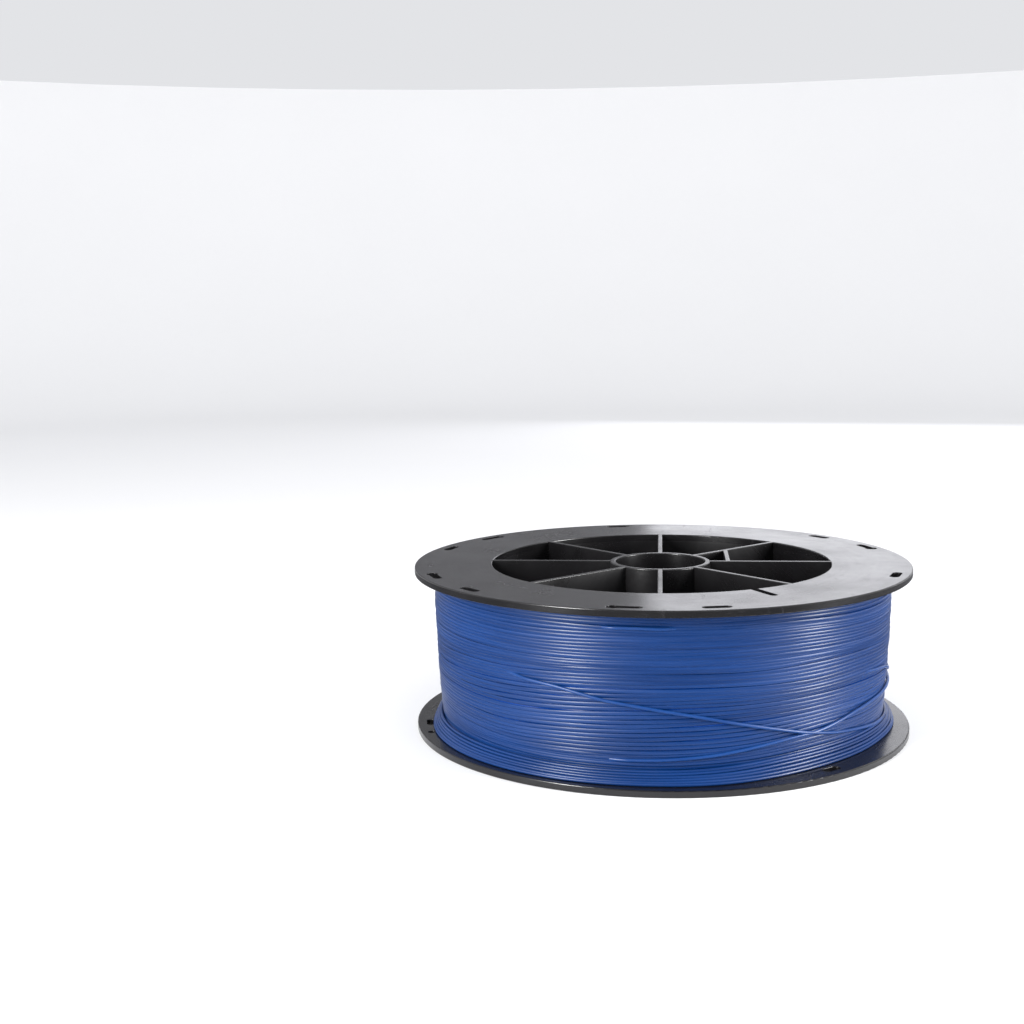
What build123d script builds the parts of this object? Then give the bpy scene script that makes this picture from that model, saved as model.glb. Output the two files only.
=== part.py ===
"""Filament spool: a plastic reel wound full of 3D printing filament, in millimetres.

The reel's axis is Z and the spool stands on its lower flange, with the origin on the axis at the
flange's underside. The reel is two mouldings, upper and lower, that meet at mid height. Each one
is a flange, half of the barrel that the filament is wound on, half of the hub round the bore, and
the webs that join barrel to hub and leave an open pocket between each two. The barrel and hub
halves meet in lap joints. Angles are in degrees from +X, counter-clockwise seen from above.
"""

from math import radians, tan
import os

from build123d import *

# Reel
flange_diameter = 280.0
spool_width = 93.5
flange_thickness = 3.8
opening_diameter = 192.0
barrel_wall = 3.0
bore_diameter = 50.8
hub_wall = 3.0
web_count = 8
web_thickness = 2.6
edge_radius = 0.6
web_edge_radius = 0.4
slot_edge_radius = 0.3

# Lap joints where the two mouldings meet
lap_length = 6.0
lap_clearance = 0.15

# Small pocket beside the hub, in the upper moulding only: its wall joins the first two webs
pocket_wall_distance = 38.5

# Slots near the rims, for tying down the filament's outer end
slot_edge_distance = 7.5
slot_width = 5.0
slot_count = 6
upper_slot_length = 14.8
upper_slot_angle = 42.0
lower_slot_length = 11.0
lower_slot_angle = 11.0

# Keyhole slots in the upper flange, each a little clockwise of one of the plain slots
keyhole_length = 18.0
keyhole_width = 4.6
keyhole_head_diameter = 6.6
keyhole_lag = 19.5
keyhole_beside = (0, 2, 3, 4)

# Round hole in the lower flange
round_hole_diameter = 4.0
round_hole_angle = -160.5
round_hole_edge_distance = 5.5

# Slot in the upper flange that the filament's inner end is threaded through
start_slot_reach = 20.0
start_slot_width = 4.4
start_slot_angle = -60.0

# Filament, wound between the flanges: how far its outside lies in from the rims
strand_diameter = 1.75
wound_depth = 11.8
wound_top_depth = 10.8
wound_foot_depth = 15.2
wound_waist_depth = 13.4
wound_waist_height = 21.0
wound_shoulder_drop = 17.5
bottom_turns_depth = 8.6
bottom_turns_height = 9.5

flange_radius = flange_diameter / 2
barrel_inner_radius = opening_diameter / 2
barrel_radius = barrel_inner_radius + barrel_wall
bore_radius = bore_diameter / 2
hub_radius = bore_radius + hub_wall
slot_circle_radius = flange_radius - slot_edge_distance
web_pitch = 360 / web_count
split_height = spool_width / 2
upper_face = spool_width - flange_thickness
cut_depth = 3 * flange_thickness
wound_radius = flange_radius - wound_depth
wound_top_radius = flange_radius - wound_top_depth
wound_foot_radius = flange_radius - wound_foot_depth
wound_waist_radius = flange_radius - wound_waist_depth
bottom_turns_radius = flange_radius - bottom_turns_depth

# How near two edges have to be to count as the same one
same = 0.01


def ring(inner_radius, outer_radius, low, high):
    """A plain ring about Z between two heights."""
    outer = Cylinder(outer_radius, high - low)
    inner = Cylinder(inner_radius, high - low)
    return Pos(0, 0, (low + high) / 2) * (outer - inner)


def on_axis(edge):
    centre = edge.arc_center
    return abs(centre.X) < same and abs(centre.Y) < same


def circles_at(solid, radius, height):
    """The solid's circular edges about Z with one radius, at one height."""
    found = []
    for edge in solid.edges().filter_by(GeomType.CIRCLE):
        at_height = abs(edge.arc_center.Z - height) < same
        if on_axis(edge) and at_height and abs(edge.radius - radius) < same:
            found.append(edge)
    return found


def slot_edges_at(solid, height):
    """The edges of the slots and holes in one face of a flange."""
    found = []
    for edge in solid.edges():
        in_face = abs((edge @ 0).Z - height) < same and abs((edge @ 0.5).Z - height) < same
        about_axis = edge.geom_type == GeomType.CIRCLE and on_axis(edge)
        if in_face and not about_axis:
            found.append(edge)
    return found


def plain_slot(length, angle):
    """The cut of an obround slot near a rim, its long side along the rim."""
    outline = SlotOverall(length, slot_width, rotation=90)
    cut = extrude(outline, cut_depth / 2, both=True)
    return Rot(0, 0, angle) * (Pos(slot_circle_radius, 0, 0) * cut)


def plain_slots(length, first_angle):
    return [plain_slot(length, first_angle + k * 360 / slot_count) for k in range(slot_count)]


def keyhole_slot(angle):
    """The cut of a slot near the rim that ends in a wider round head, on its clockwise side."""
    outline = SlotOverall(keyhole_length, keyhole_width, rotation=90)
    head_shift = (keyhole_length - keyhole_head_diameter) / 2
    outline += Pos(0, -head_shift, 0) * Circle(keyhole_head_diameter / 2)
    cut = extrude(outline, cut_depth / 2, both=True)
    return Rot(0, 0, angle) * (Pos(slot_circle_radius, 0, 0) * cut)


def keyhole_slots():
    first_angle = upper_slot_angle - keyhole_lag
    return [keyhole_slot(first_angle + k * 360 / slot_count) for k in keyhole_beside]


def round_hole():
    radius = flange_radius - round_hole_edge_distance
    return Rot(0, 0, round_hole_angle) * (Pos(radius, 0, 0) * Cylinder(round_hole_diameter / 2, cut_depth))


def start_slot():
    """The cut that runs outwards from the opening's edge and ends in a half circle."""
    length = start_slot_reach + start_slot_width
    outline = SlotOverall(length, start_slot_width)
    cut = extrude(outline, cut_depth / 2, both=True)
    centre = barrel_inner_radius + start_slot_reach - length / 2
    return Rot(0, 0, start_slot_angle) * (Pos(centre, 0, 0) * cut)


def flange(low, outer_face, slots):
    """A flange disc with round edges, and slots near its rim."""
    high = low + flange_thickness
    disc = ring(barrel_inner_radius, flange_radius, low, high)
    rims = circles_at(disc, flange_radius, low) + circles_at(disc, flange_radius, high)
    opening_edge = circles_at(disc, barrel_inner_radius, outer_face)
    disc = fillet(rims + opening_edge, edge_radius)
    for slot in slots:
        disc -= Pos(0, 0, (low + high) / 2) * slot
    return fillet(slot_edges_at(disc, low) + slot_edges_at(disc, high), slot_edge_radius)


def upper_tube(inner_radius, wall, top):
    """The upper half of a tube about Z, with a lip that goes inside the lower half."""
    lip_radius = inner_radius + (wall - lap_clearance) / 2
    half = ring(inner_radius, inner_radius + wall, split_height, top)
    return half + ring(inner_radius, lip_radius, split_height - lap_length, split_height)


def lower_tube(inner_radius, wall, bottom):
    """The lower half of a tube about Z, with a rebate that the upper half's lip fits."""
    rebate_radius = inner_radius + (wall + lap_clearance) / 2
    rebate_floor = split_height - lap_length - lap_clearance
    half = ring(inner_radius, inner_radius + wall, bottom, split_height)
    return half - ring(inner_radius, rebate_radius, rebate_floor, split_height)


def rounded_hub(tube, outer_face):
    """A hub half with the edges round at the flange's outer face."""
    edges = circles_at(tube, bore_radius, outer_face) + circles_at(tube, hub_radius, outer_face)
    return fillet(edges, edge_radius)


def plate(length, thickness, outer_face, centre_x):
    """A rib plate along X from the split to the outer face, where its two long edges are round."""
    height = abs(outer_face - split_height)
    blank = Box(length, thickness, height)
    is_upper = outer_face > split_height
    face_edges = blank.edges().filter_by(Axis.X).group_by(Axis.Z)[-1 if is_upper else 0]
    blank = fillet(face_edges, web_edge_radius)
    return Pos(centre_x, 0, (outer_face + split_height) / 2) * blank


def web(outer_face, flange_disc, hub_half):
    """The web along +X, shaped at its ends to the hub, the barrel wall and the flange's round edge."""
    inner_end = hub_radius - edge_radius
    outer_end = barrel_inner_radius + edge_radius
    blank = plate(outer_end - inner_end, web_thickness, outer_face, (inner_end + outer_end) / 2)
    inner_face = upper_face if outer_face > split_height else flange_thickness
    low, high = sorted((inner_face, split_height))
    blank -= ring(barrel_inner_radius, barrel_radius, low, high)
    blank = blank - flange_disc - hub_half
    return blank.solids().sort_by(SortBy.VOLUME)[-1]


def webs(outer_face, flange_disc, hub_half):
    """All the webs of one moulding."""
    first = web(outer_face, flange_disc, hub_half)
    return [Rot(0, 0, k * web_pitch) * first for k in range(web_count)]


def pocket_wall(web_solids):
    """The wall across the pocket between the first two webs, parallel to Y."""
    far_end = pocket_wall_distance * tan(radians(web_pitch))
    blank = plate(far_end, web_thickness, spool_width, far_end / 2)
    blank = Pos(pocket_wall_distance, 0, 0) * (Rot(0, 0, 90) * blank)
    blank = blank - web_solids[0] - web_solids[1]
    return blank.solids().sort_by(SortBy.VOLUME)[-1]


def winding():
    """The wound filament as one body, drawn in a little above the lower flange."""
    low, high = flange_thickness, upper_face
    side = Spline(
        (wound_foot_radius, low),
        (wound_waist_radius, wound_waist_height),
        (wound_radius, split_height),
        (wound_top_radius, spool_width - wound_shoulder_drop),
        (wound_top_radius, high),
    )
    outline = side + Polyline(side @ 1, (barrel_radius, high), (barrel_radius, low), side @ 0)
    return revolve(Plane.XZ * make_face(outline), Axis.Z)


def bottom_turns(wound):
    """The part layer of turns wound over the rest at the lower flange."""
    low = flange_thickness
    high = low + bottom_turns_height
    blank = ring(wound_foot_radius - strand_diameter, bottom_turns_radius, low, high)
    blank = fillet(circles_at(blank, bottom_turns_radius, high), 2 * strand_diameter)
    return blank - wound


upper_slots = plain_slots(upper_slot_length, upper_slot_angle) + keyhole_slots()
upper_flange = flange(upper_face, spool_width, upper_slots)
upper_flange -= Pos(0, 0, upper_face + flange_thickness / 2) * start_slot()
upper_barrel = upper_tube(barrel_inner_radius, barrel_wall, upper_face)
upper_hub = rounded_hub(upper_tube(bore_radius, hub_wall, spool_width), spool_width)
upper_webs = webs(spool_width, upper_flange, upper_hub)

lower_slots = plain_slots(lower_slot_length, lower_slot_angle) + [round_hole()]
lower_flange = flange(0, 0, lower_slots)
lower_barrel = lower_tube(barrel_inner_radius, barrel_wall, flange_thickness)
lower_hub = rounded_hub(lower_tube(bore_radius, hub_wall, 0), 0)
lower_webs = webs(0, lower_flange, lower_hub)

wound = winding()

nodes = {
    "upper_flange": upper_flange,
    "upper_barrel": upper_barrel,
    "upper_hub": upper_hub,
    "upper_webs": Compound(children=upper_webs),
    "upper_pocket_wall": pocket_wall(upper_webs),
    "lower_flange": lower_flange,
    "lower_barrel": lower_barrel,
    "lower_hub": lower_hub,
    "lower_webs": Compound(children=lower_webs),
    "filament_winding": wound,
    "filament_bottom_turns": bottom_turns(wound),
}

os.makedirs("parts", exist_ok=True)
for name, shape in nodes.items():
    export_step(shape, f"parts/{name}.step")
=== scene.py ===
"""The looks of a filament spool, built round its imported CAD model, in metres.

The reel keeps its CAD nodes and gets moulded plastic materials. The wound filament is built here
strand by strand: a pack of turns, a layer of turns over it, loose turns at the lower flange, and
single turns that lie across the others. Angles are in degrees from +X, counter-clockwise from above.
"""
import math

import bmesh
import bpy
import numpy as np
from mathutils import Matrix, Vector, noise


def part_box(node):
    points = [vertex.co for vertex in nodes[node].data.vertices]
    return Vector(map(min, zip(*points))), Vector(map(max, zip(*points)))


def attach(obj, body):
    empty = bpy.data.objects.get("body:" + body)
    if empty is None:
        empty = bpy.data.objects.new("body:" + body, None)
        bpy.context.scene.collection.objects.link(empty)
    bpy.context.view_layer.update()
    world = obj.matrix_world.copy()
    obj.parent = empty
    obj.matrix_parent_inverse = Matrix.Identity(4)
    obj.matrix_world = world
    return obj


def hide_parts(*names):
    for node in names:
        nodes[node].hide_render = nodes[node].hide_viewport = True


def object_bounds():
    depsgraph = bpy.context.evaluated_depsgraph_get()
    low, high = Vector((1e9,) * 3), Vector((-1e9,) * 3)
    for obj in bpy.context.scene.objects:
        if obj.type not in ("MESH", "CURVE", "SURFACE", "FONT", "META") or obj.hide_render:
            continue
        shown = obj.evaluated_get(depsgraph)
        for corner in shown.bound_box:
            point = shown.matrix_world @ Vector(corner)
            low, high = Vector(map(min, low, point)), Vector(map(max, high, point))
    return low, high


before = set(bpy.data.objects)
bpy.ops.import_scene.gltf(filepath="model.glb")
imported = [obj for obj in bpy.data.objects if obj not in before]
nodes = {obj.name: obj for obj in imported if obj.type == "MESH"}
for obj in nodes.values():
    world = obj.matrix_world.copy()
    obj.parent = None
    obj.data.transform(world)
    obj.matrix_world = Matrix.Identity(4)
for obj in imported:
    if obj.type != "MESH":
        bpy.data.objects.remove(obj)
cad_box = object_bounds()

# Sizes that come from the CAD model
floor_z = cad_box[0].z
rim_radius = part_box("upper_flange")[1].x
low_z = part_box("lower_flange")[1].z
high_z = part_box("upper_flange")[0].z
barrel_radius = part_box("upper_barrel")[1].x

# The strand's diameter, and the shape of its turns in the outer layer as shares of it: they are
# flatter and taller than round, since each one sinks between its neighbours
strand = 0.00175
turn_depth = 0.45
turn_height = 1.28
turn_sides = 10

# Where a turn steps up to the next one, behind the spool, and over how many degrees
step_angle = 90.0
step_width = 34.0

# Degrees between the points of a turn
mesh_step = 1.0


# ---------------------------------------------------------------- geometry of the winding

def wound_profile():
    """Heights and outside radii of the CAD winding, from its mesh."""
    rows = {}
    for v in nodes["filament_winding"].data.vertices:
        r = math.hypot(v.co.x, v.co.y)
        key = round(v.co.z, 5)
        rows[key] = max(rows.get(key, 0.0), r)
    heights = sorted(z for z in rows if rows[z] > (barrel_radius + rim_radius) / 2)
    return np.array(heights), np.array([rows[z] for z in heights])


profile_z, profile_r = wound_profile()


def surface_radius(z):
    return np.interp(z, profile_z, profile_r)


def bell(reach, soft):
    """A smoothing window: its steps, reach to each side, and their weights."""
    steps = np.arange(-reach, reach + 1)
    weight = np.exp(-(steps / soft) ** 2 / 2)
    return steps, weight / weight.sum()


def around(points):
    """A smooth closed curve of a value over the angle, through rough control points in degrees."""
    angles = np.array([p[0] for p in points], float)
    values = np.array([p[1] for p in points], float)
    grid = np.arange(0, 360, 1.0)
    line = np.interp(grid, angles, values, period=360)
    smooth = sum(w * np.roll(line, -int(k)) for k, w in zip(*bell(18, 5.0)))
    return lambda a: np.interp(np.asarray(a, float) % 360, np.append(grid, 360), np.append(smooth, smooth[0]))


# Brings Blender's noise, which seldom passes 0.6, to a full reach of about 1
noise_gain = 1.6

# How far apart the slices of noise of two seeds lie
seed_spacing = 7.31


def wander(a, seed, reach=1.0, rate=1.6):
    """Smooth closed noise round the axis, from -reach to reach, one curve for each seed."""
    out = []
    for d in np.atleast_1d(a):
        t = math.radians(d)
        out.append(noise.noise(Vector((rate * math.cos(t), rate * math.sin(t), seed_spacing * seed))))
    return reach * noise_gain * np.array(out)


# Lines where neighbouring turns part: heights in millimetres over the angle, and the gap in them
parting_lines = [
    ([(-165, 83.6), (-110, 83.2), (-76, 82.8), (-58, 83.0), (-40, 81.4), (-15, 80.2), (60, 82.0)], 0.75),
    ([(-160, 74.2), (-120, 73.0), (-85, 75.6), (-55, 76.2), (-25, 73.4), (60, 74.0)], 0.30),
    ([(-160, 64.5), (-130, 64.6), (-112, 64.9), (-90, 66.0), (-60, 67.2), (-30, 65.6), (60, 65.0)], 0.85),
    ([(-160, 53.9), (-144, 55.5), (-130, 56.3), (-112, 57.8), (-90, 59.3), (-68, 58.7), (-55, 59.9),
      (-39, 60.5), (-16, 58.1), (70, 55.0)], 0.95),
    ([(-160, 46.4), (-130, 48.6), (-104, 51.0), (-80, 52.0), (-56, 51.2), (-35, 52.6), (-15, 50.4),
      (70, 47.5)], 0.80),
    ([(-162, 36.8), (-148, 36.6), (-137, 35.6), (-118, 36.8), (-90, 41.0), (-60, 42.6), (-35, 43.4),
      (-12, 40.5), (70, 38.0)], 0.80),
    ([(-161, 29.0), (-130, 27.2), (-100, 30.2), (-70, 33.4), (-45, 34.8), (-20, 33.0), (70, 30.0)], 0.70),
    ([(-161, 21.6), (-150, 19.4), (-129, 17.2), (-100, 18.8), (-74, 20.4), (-50, 24.8), (-25, 24.0),
      (70, 21.0)], 0.85),
    ([(-160, 12.6), (-120, 10.8), (-90, 11.2), (-70, 13.0), (-50, 15.6), (-28, 15.0), (70, 12.0)], 0.70),
]


# Numbers that keep the noise of different features apart
gap_seed, lean_seed, sway_seed, group_seed = 11, 100, 300, 500
loose_height_seed, loose_seed, loose_inner_seed = 700, 720, 740

# So many neighbouring turns sway together
group_size = 5


def smooth_step(x):
    """From 0 to 1, with no corner at either end."""
    return x * x * (3 - 2 * x)


def turn_heights(angles):
    """Heights of every turn of the outer layer over the angle: rows are turns, bottom to top."""
    lines = [(np.full(len(angles), low_z), np.zeros(len(angles)))]
    for n, (points, gap) in enumerate(reversed(parting_lines)):
        height = around(points)(angles) / 1000
        opening = gap * (0.62 + 0.38 * wander(angles, gap_seed + n, 1.0, 2.3)) / 1000
        lines.append((height, np.clip(opening, 0.0001, None)))
    lines.append((np.full(len(angles), high_z), np.zeros(len(angles))))
    turns = []
    for n in range(len(lines) - 1):
        bottom = lines[n][0] + lines[n][1] / 2
        top = lines[n + 1][0] - lines[n + 1][1] / 2
        count = max(1, round(float(np.mean(top - bottom)) / strand))
        edges = np.arange(count + 1) / count
        for k in range(count):
            middle = (edges[k] + edges[k + 1]) / 2
            lean = wander(angles, lean_seed + 13 * n + k, 0.10, 3.0) * (top - bottom) / count
            turns.append(bottom + middle * (top - bottom) + lean)
    return np.array(turns)


def layer_paths():
    """Points of each turn of the outer layer. Every turn steps up to the next one behind the spool."""
    angles = np.arange(step_angle, step_angle + 360.0 + 1e-6, mesh_step)
    heights = turn_heights(angles)
    along = (angles - (step_angle + 360.0 - step_width)) / step_width
    step = smooth_step(np.clip(along, 0, 1))
    paths = []
    for k in range(len(heights)):
        following = heights[k + 1] if k + 1 < len(heights) else heights[k]
        z = heights[k] * (1 - step) + following * step
        sway = wander(angles, sway_seed + k, 0.00022, 2.0)
        sway = sway + wander(angles, group_seed + k // group_size, 0.00028, 1.3)
        r = surface_radius(z) - strand / 2 + sway
        if k == 0:
            # The strand's beginning is tucked in
            r = r - 0.001 * np.exp(-(angles - angles[0]) / 6)
        paths.append((angles, r, z))
    return paths


def tube_into(bm, points, wide, side_count, closed=False, depth=1.0, height=1.0):
    """Adds a tube along points to a mesh: wide is its radius, and its sections stay upright on the winding."""
    rings = []
    count = len(points)
    for n, p in enumerate(points):
        before = points[n - 1] if n or closed else p
        after = points[(n + 1) % count] if n + 1 < count or closed else p
        tangent = (after - before).normalized()
        outward = Vector((p.x, p.y, 0)).normalized()
        outward = (outward - tangent * outward.dot(tangent)).normalized()
        upward = tangent.cross(outward).normalized()
        ring = []
        for s in range(side_count):
            t = 2 * math.pi * s / side_count
            off = outward * (wide * depth * math.cos(t)) + upward * (wide * height * math.sin(t))
            ring.append(bm.verts.new(p + off))
        rings.append(ring)
    pairs = zip(rings, rings[1:] + rings[:1]) if closed else zip(rings, rings[1:])
    for a, b in pairs:
        for s in range(side_count):
            t = (s + 1) % side_count
            bm.faces.new((a[s], b[s], b[t], a[t]))
    if not closed:
        bm.faces.new(rings[0])
        bm.faces.new(rings[-1][::-1])


def polar_points(angles, r, z):
    t = np.radians(angles)
    return [Vector((x, y, h)) for x, y, h in zip(r * np.cos(t), r * np.sin(t), z)]


def new_object(bm, name, material):
    """Turns a finished bmesh into an object of the scene."""
    mesh = bpy.data.meshes.new(name)
    bm.to_mesh(mesh)
    bm.free()
    obj = bpy.data.objects.new(name, mesh)
    bpy.context.scene.collection.objects.link(obj)
    mesh.materials.append(material)
    return obj


def filament_piece(bm, name, material):
    """A smooth piece of the wound filament, which rides on the reel."""
    bmesh.ops.recalc_face_normals(bm, faces=bm.faces)
    for f in bm.faces:
        f.smooth = True
    obj = new_object(bm, name, material)
    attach(obj, "root")
    return obj


def strand_layer(name, paths, material):
    """Consecutive turns as one strand."""
    points = []
    for angles, r, z in paths:
        points += polar_points(angles[:-1], r[:-1], z[:-1])
    points.append(polar_points(paths[-1][0][-1:], paths[-1][1][-1:], paths[-1][2][-1:])[0])
    bm = bmesh.new()
    tube_into(bm, points, strand / 2, turn_sides, depth=turn_depth, height=turn_height)
    return filament_piece(bm, name, material)


def ring_of_points(bm, r, z, step):
    """New points of a mesh in a circle about the axis, one for each step in degrees."""
    angles = np.radians(np.arange(0, 360, step))
    return [bm.verts.new(Vector((r * math.cos(t), r * math.sin(t), z))) for t in angles]


def wound_pack(material):
    """The turns under the outer layer: a closed ring whose outside has a ridge for each turn."""
    ridges = 47
    rows_per_ridge = 4
    valley_depth, ridge_height = 0.98 * strand, 0.20 * strand
    play = 0.0001
    bm = bmesh.new()
    heights = np.linspace(low_z + play, high_z - play, ridges * rows_per_ridge + 1)
    outline = []
    for n, z in enumerate(heights):
        ridge = abs(math.sin(math.pi * n / rows_per_ridge))
        outline.append((float(surface_radius(z)) - valley_depth + ridge_height * ridge, z))
    outline += [(barrel_radius + play, heights[-1]), (barrel_radius + play, heights[0])]
    rings = [ring_of_points(bm, r, z, 3.0) for r, z in outline]
    for a, b in zip(rings, rings[1:] + rings[:1]):
        for s in range(len(a)):
            t = (s + 1) % len(a)
            bm.faces.new((a[s], a[t], b[t], b[s]))
    obj = filament_piece(bm, "filament_pack", material)
    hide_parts("filament_winding")
    return obj


# How far out the loose turns at the lower flange lie, and the height of the topmost one, in millimetres
loose_reach = around([(-172, 129.4), (-158, 132.2), (-142, 134.8), (-120, 135.2), (-95, 134.6), (-80, 133.4),
                      (-70, 131.6), (-62, 129.2), (-50, 126.6), (-38, 126.4), (-22, 127.4), (-8, 130.4),
                      (6, 132.8), (60, 131.4), (130, 130.4)])
loose_top = around([(-172, 10.6), (-120, 9.8), (-90, 9.8), (-76, 10.9), (-60, 14.2), (-45, 14.6), (-26, 14.4),
                    (-5, 13.0), (60, 12.0)])


def loose_surface(angles, z, share):
    """Radius of the loose turns' outside. Share is how high up a turn lies, from 0 to 1."""
    lean = (loose_reach(angles) / 1000 - surface_radius(z)) * (1 - 0.78 * share ** 1.3)
    return surface_radius(z) + np.maximum(lean, 0.0)


def loose_turns(material):
    """The turns at the lower flange, slack and off centre, and the turns that show in the gaps between them."""
    count = 6
    inner_sides = 6
    bm = bmesh.new()
    angles = np.arange(0, 360, mesh_step * 1.5)
    bottom = low_z + strand / 2
    rise = loose_top(angles) / 1000 - strand / 2 - bottom
    for k in range(count):
        share = k / (count - 1)
        z = bottom + share * rise + wander(angles, loose_height_seed + k, 0.00018, 2.2) * min(1, k)
        r = loose_surface(angles, z, share) - strand / 2 + 0.0006 + wander(angles, loose_seed + k, 0.0004, 2.4)
        tube_into(bm, polar_points(angles, r, z), strand / 2, turn_sides, closed=True)
    for k in range(count - 1):
        share = (k + 0.5) / (count - 1)
        z = bottom + share * rise
        r = loose_surface(angles, z, share) - 1.35 * strand + wander(angles, loose_inner_seed + k, 0.0003, 2.4)
        tube_into(bm, polar_points(angles, r, z), strand / 2, inner_sides, closed=True)
    obj = filament_piece(bm, "filament_loose_turns", material)
    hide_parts("filament_bottom_turns")
    return obj


def crossing_strand(name, points, material, proud=0.62, ends=7.0):
    """One turn that lies across the others. It comes out of the winding and goes back into it.

    The points are heights in millimetres over the angle. Proud is how far the turn's middle lies
    outside the others', in strands, and ends is how many degrees it takes to come out.
    """
    first, last = points[0][0], points[-1][0]
    angles = np.arange(first, last + 0.25, 0.5)
    rough = np.interp(angles, [p[0] for p in points], [p[1] for p in points]) / 1000
    reach = 9
    padded = np.concatenate([np.full(reach, rough[0]), rough, np.full(reach, rough[-1])])
    z = np.convolve(padded, bell(reach, 4.0)[1], mode="valid")
    out = smooth_step(np.clip(np.minimum(angles - first, last - angles) / ends, 0, 1))
    r = surface_radius(z) - strand + (strand * (0.5 + proud)) * out + wander(angles, len(name), 0.0001, 5.0)
    bm = bmesh.new()
    tube_into(bm, polar_points(angles, r, z), strand / 2, turn_sides)
    return filament_piece(bm, name, material)


# ---------------------------------------------------------------- materials

class Shader:
    """A Principled material, with short calls for the nodes that feed it."""

    def __init__(self, name, roughness, specular):
        self.material = bpy.data.materials.new(name)
        self.material.use_nodes = True
        self.tree = self.material.node_tree
        self.surface = self.tree.nodes["Principled BSDF"]
        self.surface.inputs["Roughness"].default_value = roughness
        self.surface.inputs["IOR"].default_value = 1.5
        self.surface.inputs["Specular IOR Level"].default_value = specular
        self.place = self.node("ShaderNodeTexCoord").outputs["Object"]

    def node(self, kind, **values):
        made = self.tree.nodes.new(kind)
        for key, value in values.items():
            setattr(made, key, value)
        return made

    def feed(self, socket, value):
        if isinstance(value, bpy.types.NodeSocket):
            self.tree.links.new(value, socket)
        else:
            socket.default_value = value

    def math(self, operation, a, b=0.0):
        made = self.node("ShaderNodeMath", operation=operation)
        self.feed(made.inputs[0], a)
        self.feed(made.inputs[1], b)
        return made.outputs[0]

    def stretched(self, x, y, z):
        made = self.node("ShaderNodeVectorMath", operation="MULTIPLY")
        self.feed(made.inputs[0], self.place)
        made.inputs[1].default_value = (x, y, z)
        return made.outputs[0]

    def radius(self):
        """The distance from the axis."""
        length = self.node("ShaderNodeVectorMath", operation="LENGTH")
        self.feed(length.inputs[0], self.stretched(1, 1, 0))
        return length.outputs["Value"]

    def rings(self, across, along, up):
        """Coordinates whose noise runs in rings round the axis: across the radius, along the ring, up Z."""
        parts = self.node("ShaderNodeSeparateXYZ")
        self.feed(parts.inputs[0], self.place)
        radius = self.radius()
        x = self.math("MULTIPLY", self.math("DIVIDE", parts.outputs["X"], radius), along)
        y = self.math("MULTIPLY", self.math("DIVIDE", parts.outputs["Y"], radius), along)
        depth = self.math("MULTIPLY", radius, across)
        height = self.math("MULTIPLY", parts.outputs["Z"], up)
        joined = self.node("ShaderNodeCombineXYZ")
        self.feed(joined.inputs[0], x)
        self.feed(joined.inputs[1], y)
        self.feed(joined.inputs[2], self.math("ADD", depth, height))
        return joined.outputs[0]

    def noise(self, vector, scale, detail=3.0, rough=0.5):
        made = self.node("ShaderNodeTexNoise")
        self.feed(made.inputs["Vector"], vector)
        made.inputs["Scale"].default_value = scale
        made.inputs["Detail"].default_value = detail
        made.inputs["Roughness"].default_value = rough
        return made.outputs["Fac"]

    def span(self, value, low, high, to_low, to_high):
        """A value brought from one range to another, and held inside it."""
        made = self.node("ShaderNodeMapRange")
        self.feed(made.inputs["Value"], value)
        made.inputs["From Min"].default_value = low
        made.inputs["From Max"].default_value = high
        made.inputs["To Min"].default_value = to_low
        made.inputs["To Max"].default_value = to_high
        return made.outputs["Result"]

    def mix(self, share, a, b):
        made = self.node("ShaderNodeMix", data_type="RGBA")
        first_colour, second_colour, mixed = 6, 7, 2
        self.feed(made.inputs["Factor"], share)
        self.feed(made.inputs[first_colour], a)
        self.feed(made.inputs[second_colour], b)
        return made.outputs[mixed]

    def bump(self, height, strength, distance, under=None):
        made = self.node("ShaderNodeBump")
        made.inputs["Strength"].default_value = strength
        made.inputs["Distance"].default_value = distance
        self.feed(made.inputs["Height"], height)
        if under is not None:
            self.feed(made.inputs["Normal"], under)
        return made.outputs["Normal"]

    def set(self, name, value):
        self.feed(self.surface.inputs[name], value)


def reel_plastic(name, scuffs, gloss):
    """Black moulded plastic: cloudy sheen, fine grain, and pale scuffs from handling."""
    s = Shader(name, gloss, 0.5)
    cloud = s.noise(s.place, 22.0, 4.0, 0.55)
    grain = s.noise(s.place, 1900.0, 2.0, 0.6)
    rubbed = s.noise(s.rings(420.0, 5.0, 420.0), 1.0, 5.0, 0.62)
    stray = s.noise(s.stretched(260.0, 34.0, 120.0), 1.0, 4.0, 0.6)
    patches = s.span(s.noise(s.place, 9.0, 3.0, 0.6), 0.45, 0.68, 0.0, 1.0)
    marks = s.math("MULTIPLY", s.span(s.math("MAXIMUM", rubbed, stray), 0.60, 0.74, 0.0, 1.0), patches)
    marks = s.math("MULTIPLY", marks, scuffs)
    dark = s.mix(s.span(cloud, 0.35, 0.7, 0.0, 1.0), (0.0048, 0.0045, 0.0050, 1), (0.0088, 0.0084, 0.0092, 1))
    s.set("Base Color", s.mix(marks, dark, (0.038, 0.036, 0.040, 1)))
    rough = s.math("ADD", s.span(cloud, 0.3, 0.7, gloss - 0.05, gloss + 0.07), s.math("MULTIPLY", marks, 0.18))
    s.set("Roughness", s.math("ADD", rough, s.span(rubbed, 0.35, 0.7, -0.01, 0.015)))
    low = s.bump(cloud, 0.10, 0.0006)
    s.set("Normal", s.bump(grain, 0.06, 0.00003, s.bump(rubbed, 0.02, 0.00004, low)))
    return s.material


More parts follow.
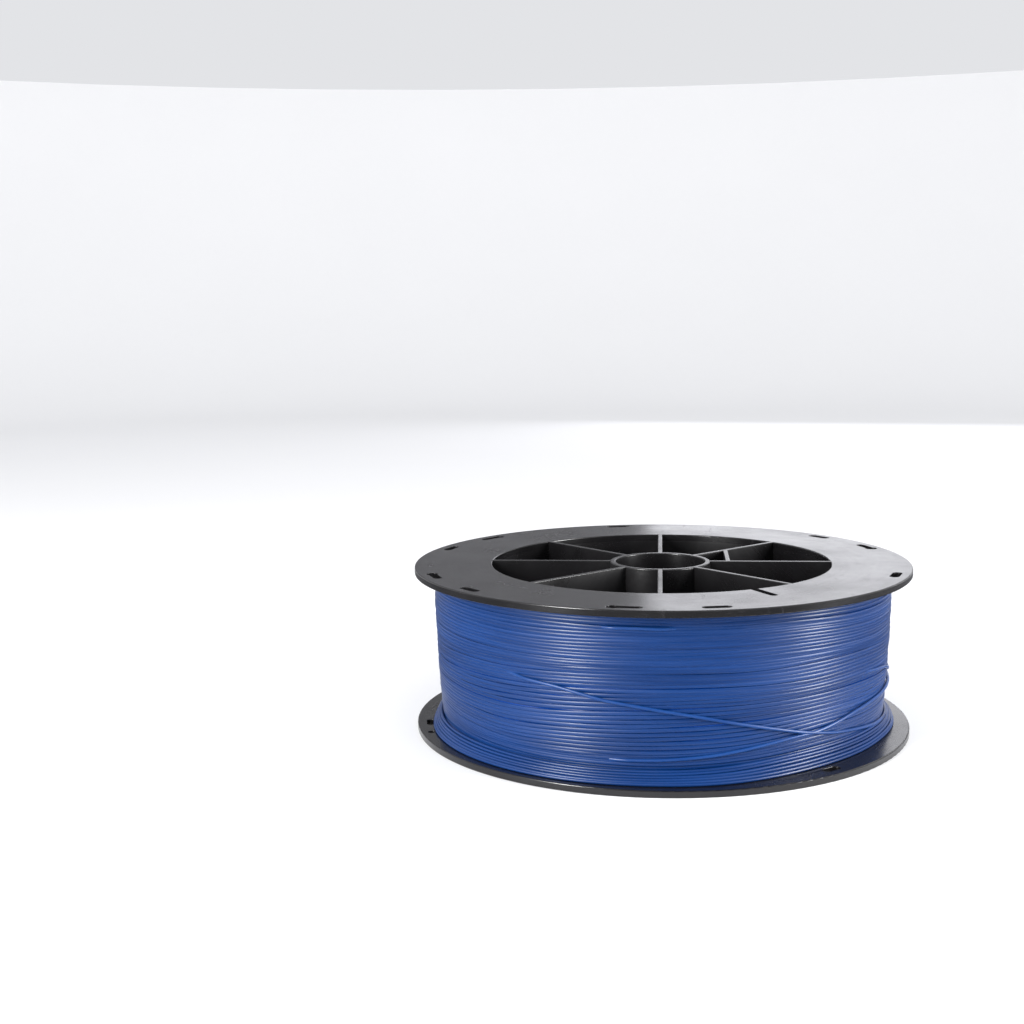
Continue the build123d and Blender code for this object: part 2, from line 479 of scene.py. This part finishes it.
def filament_plastic(name, light, dark):
    """Blue extruded strand: glossy, with slow changes of shade from turn to turn and faint die lines."""
    s = Shader(name, 0.27, 0.38)
    turn = s.noise(s.rings(160.0, 1.7, 560.0), 1.0, 2.0, 0.5)
    slow = s.noise(s.rings(30.0, 1.1, 60.0), 1.0, 2.0, 0.5)
    lines = s.noise(s.rings(2600.0, 3.0, 2600.0), 1.0, 2.0, 0.5)
    both = s.math("ADD", s.math("MULTIPLY", turn, 0.6), s.math("MULTIPLY", slow, 0.4))
    shade = s.span(both, 0.36, 0.64, 0.0, 1.0)
    s.set("Base Color", s.mix(shade, dark, light))
    bloom = s.span(s.noise(s.rings(90.0, 7.0, 300.0), 1.0, 4.0, 0.6), 0.5, 0.75, 0.0, 0.10)
    s.set("Roughness", s.math("ADD", s.span(turn, 0.3, 0.7, 0.29, 0.37), bloom))
    s.set("Normal", s.bump(lines, 0.06, 0.00002))
    return s.material


# ---------------------------------------------------------------- the spool

flange_plastic = reel_plastic("reel_flange_plastic", 0.55, 0.22)
inner_plastic = reel_plastic("reel_inner_plastic", 0.35, 0.28)
filament_blue = filament_plastic("filament_blue", (0.0026, 0.031, 0.140, 1), (0.0012, 0.019, 0.092, 1))
# Painted light: the pack under the outer layer is the same filament with a lighter, more saturated blue, so the
# gaps between turns read blue instead of falling into shade
filament_gap_painted_light = filament_plastic("filament_blue_gap_painted_light", (0.0022, 0.048, 0.28, 1), (0.0014, 0.036, 0.22, 1))
# Painted highlight: the turns that lie across the others get a lighter blue for the light they catch where they
# stand out from the winding
filament_painted_highlight = filament_plastic("filament_blue_painted_highlight", (0.0065, 0.044, 0.178, 1), (0.0040, 0.033, 0.145, 1))

for name, obj in nodes.items():
    material = flange_plastic if name.endswith("flange") else inner_plastic
    obj.data.materials.clear()
    obj.data.materials.append(material)

wound_pack(filament_gap_painted_light)
turns = layer_paths()
half = len(turns) // 2
strand_layer("filament_turns_lower", turns[:half + 1], filament_blue)
strand_layer("filament_turns_upper", turns[half + 1:], filament_blue)
loose_turns(filament_blue)

crossing_strand("filament_descending_turn", [
    (-128, 53.0), (-120.5, 51.2), (-115, 50.2), (-110, 48.4), (-105.5, 46.3), (-101, 44.2), (-97, 43.3),
    (-87, 39.6), (-81, 37.2), (-72, 32.7), (-62, 27.6), (-54, 23.4), (-50, 22.0), (-45, 19.8), (-40, 18.8),
    (-26, 14.9), (-14, 12.5), (0, 11.0)], filament_painted_highlight)
crossing_strand("filament_rising_turn", [
    (-104, 14.0), (-90, 14.8), (-79, 16.5), (-70, 19.1), (-64, 20.9), (-58, 22.4), (-51, 22.9), (-48, 24.0),
    (-42.7, 26.0), (-36.5, 28.4), (-28.4, 29.7), (-20, 30.2), (-8, 30.8), (14, 31.4), (34, 31.0)],
    filament_painted_highlight)
crossing_strand("filament_top_turn", [
    (-104, 82.0), (-98, 82.3), (-93, 82.3), (-86, 82.0)], filament_painted_highlight, ends=4.0)
crossing_strand("filament_side_turn", [
    (-34, 47.0), (-24, 45.0), (-16, 42.0), (-12, 38.5), (-8, 36.5), (4, 35.0), (20, 34.0)], filament_painted_highlight,
    proud=0.35)


# ---------------------------------------------------------------- studio

def cove():
    """A pale floor that curves up all round, well away from the spool."""
    s = Shader("studio_paper", 0.9, 0.1)
    s.set("Base Color", s.mix(s.noise(s.place, 3.0, 2.0), (0.86, 0.86, 0.865, 1), (0.88, 0.88, 0.885, 1)))
    flat, curve, step = 2.4, 1.2, 5.0
    outline = [(flat / 2, 0.0), (flat, 0.0)]
    for t in np.radians(np.arange(8, 73, 8)):
        outline.append((flat + curve * math.sin(t), curve - curve * math.cos(t)))
    bm = bmesh.new()
    centre = bm.verts.new((0, 0, floor_z))
    rings = [ring_of_points(bm, r, floor_z + z, step) for r, z in outline]
    count = len(rings[0])
    for k in range(count):
        bm.faces.new((centre, rings[0][k], rings[0][(k + 1) % count]))
    for a, b in zip(rings, rings[1:]):
        for k in range(count):
            bm.faces.new((a[k], b[k], b[(k + 1) % count], a[(k + 1) % count]))
    for f in bm.faces:
        f.smooth = True
    new_object(bm, "studio_floor", s.material)


def soft_box(name, azimuth, height, distance, width, tall, power, colour=(1, 1, 1)):
    """A soft box aimed at the spool's middle."""
    light = bpy.data.lights.new(name, "AREA")
    light.shape = "RECTANGLE"
    light.size = width
    light.size_y = tall
    light.energy = power
    light.color = colour
    obj = bpy.data.objects.new(name, light)
    bpy.context.scene.collection.objects.link(obj)
    t = math.radians(azimuth)
    obj.location = (distance * math.cos(t), distance * math.sin(t), height)
    aim = Vector((0, 0, high_z / 2)) - obj.location
    obj.rotation_euler = aim.to_track_quat("-Z", "Y").to_euler()
    return obj


def card(name, corners, grey):
    """A card that only reflections show, as the flags round a glossy object are."""
    s = Shader(name, 0.8, 0.1)
    s.set("Base Color", (grey, grey, grey * 1.05, 1))
    bm = bmesh.new()
    bm.faces.new([bm.verts.new(c) for c in corners])
    obj = new_object(bm, name, s.material)
    obj.visible_camera = False
    obj.visible_shadow = False
    obj.visible_diffuse = False


def standing_card(name, start, end, top, grey):
    """A card on edge from one point of the floor to another."""
    foot = 0.02
    corners = [(*start, foot), (*end, foot), (*end, top), (*start, top)]
    card(name, corners, grey)


def floor_card(name, x0, x1, y0, y1):
    """A card that lies on the floor."""
    low = floor_z + 0.0005
    card(name, [(x0, y0, low), (x1, y0, low), (x1, y1, low), (x0, y1, low)], 0.14)


def camera():
    """The photo's camera, found from the outlines of the flanges."""
    place = Vector((0, -0.85312, 0.24269))
    direction = Vector((-0.09774, 0.98532, -0.13999))
    roll = -0.742
    data = bpy.data.cameras.new("camera")
    data.lens = 53.0
    data.sensor_width = 36.0
    data.clip_start = 0.01
    data.clip_end = 50.0
    obj = bpy.data.objects.new("camera", data)
    bpy.context.scene.collection.objects.link(obj)
    look = direction.to_track_quat("-Z", "Y").to_matrix().to_4x4()
    obj.matrix_world = Matrix.Translation(place) @ look @ Matrix.Rotation(math.radians(roll), 4, "Z")
    bpy.context.scene.camera = obj


world = bpy.data.worlds.new("studio")
bpy.context.scene.world = world
world.use_nodes = True
world.node_tree.nodes["Background"].inputs["Color"].default_value = (0.96, 0.97, 1.0, 1)
world.node_tree.nodes["Background"].inputs["Strength"].default_value = 0.80
bpy.context.scene.view_settings.view_transform = "Standard"

cove()
standing_card("studio_card_back", (-1.05, 1.10), (-0.016, 1.20), 0.80, 0.17)
standing_card("studio_card_front", (-1.3, -1.9), (1.5, -1.7), 1.9, 0.10)
floor_card("studio_card_floor_front", -1.2, 1.2, -1.6, -0.17)
floor_card("studio_card_floor_left", -1.2, -0.17, -0.169, 0.5)
floor_card("studio_card_floor_right", 0.17, 1.2, -0.169, 0.5)
soft_box("light_left", -133, 0.60, 1.6, 0.36, 0.95, 43.0)
soft_box("light_right", -12, 0.56, 1.6, 0.42, 0.95, 44.0)
soft_box("light_back", 81, 0.52, 2.0, 0.95, 0.85, 2.6, (0.93, 0.93, 1.0)).visible_camera = False
camera()
